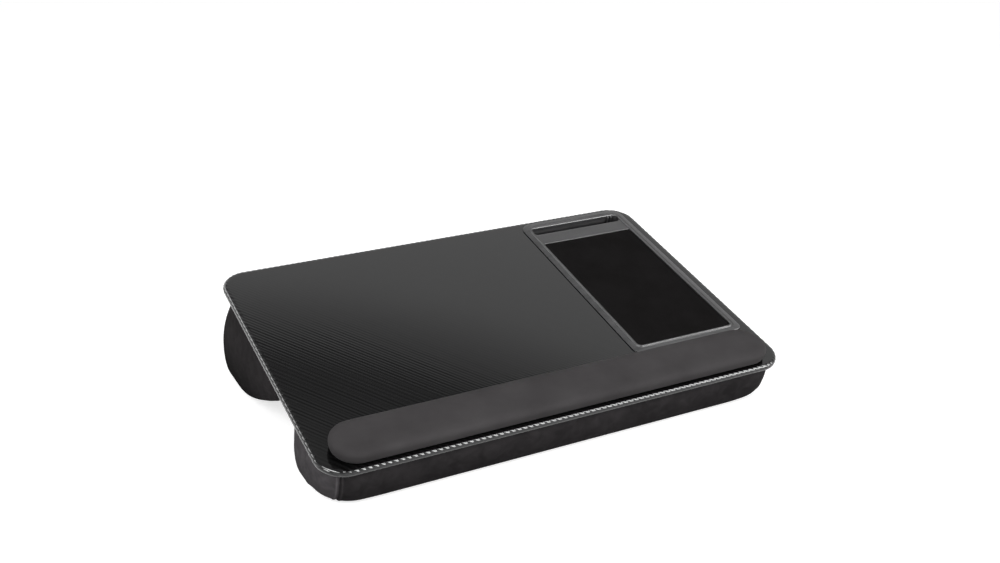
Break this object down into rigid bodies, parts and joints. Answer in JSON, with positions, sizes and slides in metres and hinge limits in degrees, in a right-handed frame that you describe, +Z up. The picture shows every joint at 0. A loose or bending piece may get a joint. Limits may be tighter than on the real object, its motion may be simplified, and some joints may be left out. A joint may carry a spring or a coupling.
{
  "type": "lap desk",
  "caption": "Lap desk: a sloping laptop board on stuffed bolsters, with a framed mouse pad, a phone slot and a padded wrist rest along the front.",
  "frame": {"origin": "under the middle of the whole object, on the surface that its bolsters stand on", "axes": "+X along the front edge to the user's right, +Y to the rear, +Z up"},
  "size_m": [0.534, 0.3648, 0.1256],
  "materials": {
    "laminate_film": "black carbon-look embossed film with a soft sheen",
    "fibreboard": "raw",
    "foam_tape": "matte",
    "lining_cloth": "thin non-woven cloth",
    "bezel_plastic": "moulded, finely textured",
    "pad_cloth": "smooth knitted cloth",
    "pad_rubber": "matte foam rubber",
    "rest_skin": "smooth matte synthetic skin",
    "rest_plate": "matte",
    "rest_foam": "open foam",
    "bolster_suede": "short velvety nap",
    "bolster_stuffing": "fibre stuffing",
    "staple_steel": "drawn wire"
  },
  "bodies": {
    "root": {"carbon_laminate": "laminate_film", "top_board": "fibreboard", "base_board": "fibreboard", "board_tape_1": "foam_tape", "board_tape_2": "foam_tape", "board_tape_3": "foam_tape", "underside_lining": "lining_cloth", "tray_bezel": "bezel_plastic", "mouse_pad_cloth": "pad_cloth", "mouse_pad_backing": "pad_rubber", "wrist_rest_tape": "foam_tape", "wrist_rest_cover": "rest_skin", "wrist_rest_base": "rest_plate", "wrist_rest_foam": "rest_foam", "front_bolster_wrap": "bolster_suede", "front_bolster_end_left": "bolster_suede", "front_bolster_end_right": "bolster_suede", "front_bolster_fill": "bolster_stuffing", "front_staple_1": "staple_steel", "front_staple_2": "staple_steel", "front_staple_3": "staple_steel", "front_staple_4": "staple_steel", "front_staple_5": "staple_steel", "front_staple_6": "staple_steel", "rear_bolster_wrap": "bolster_suede", "rear_bolster_end_left": "bolster_suede", "rear_bolster_end_right": "bolster_suede", "rear_bolster_fill": "bolster_stuffing", "rear_staple_1": "staple_steel", "rear_staple_2": "staple_steel", "rear_staple_3": "staple_steel", "rear_staple_4": "staple_steel", "rear_staple_5": "staple_steel", "rear_staple_6": "staple_steel"}
  },
  "joints": []
}
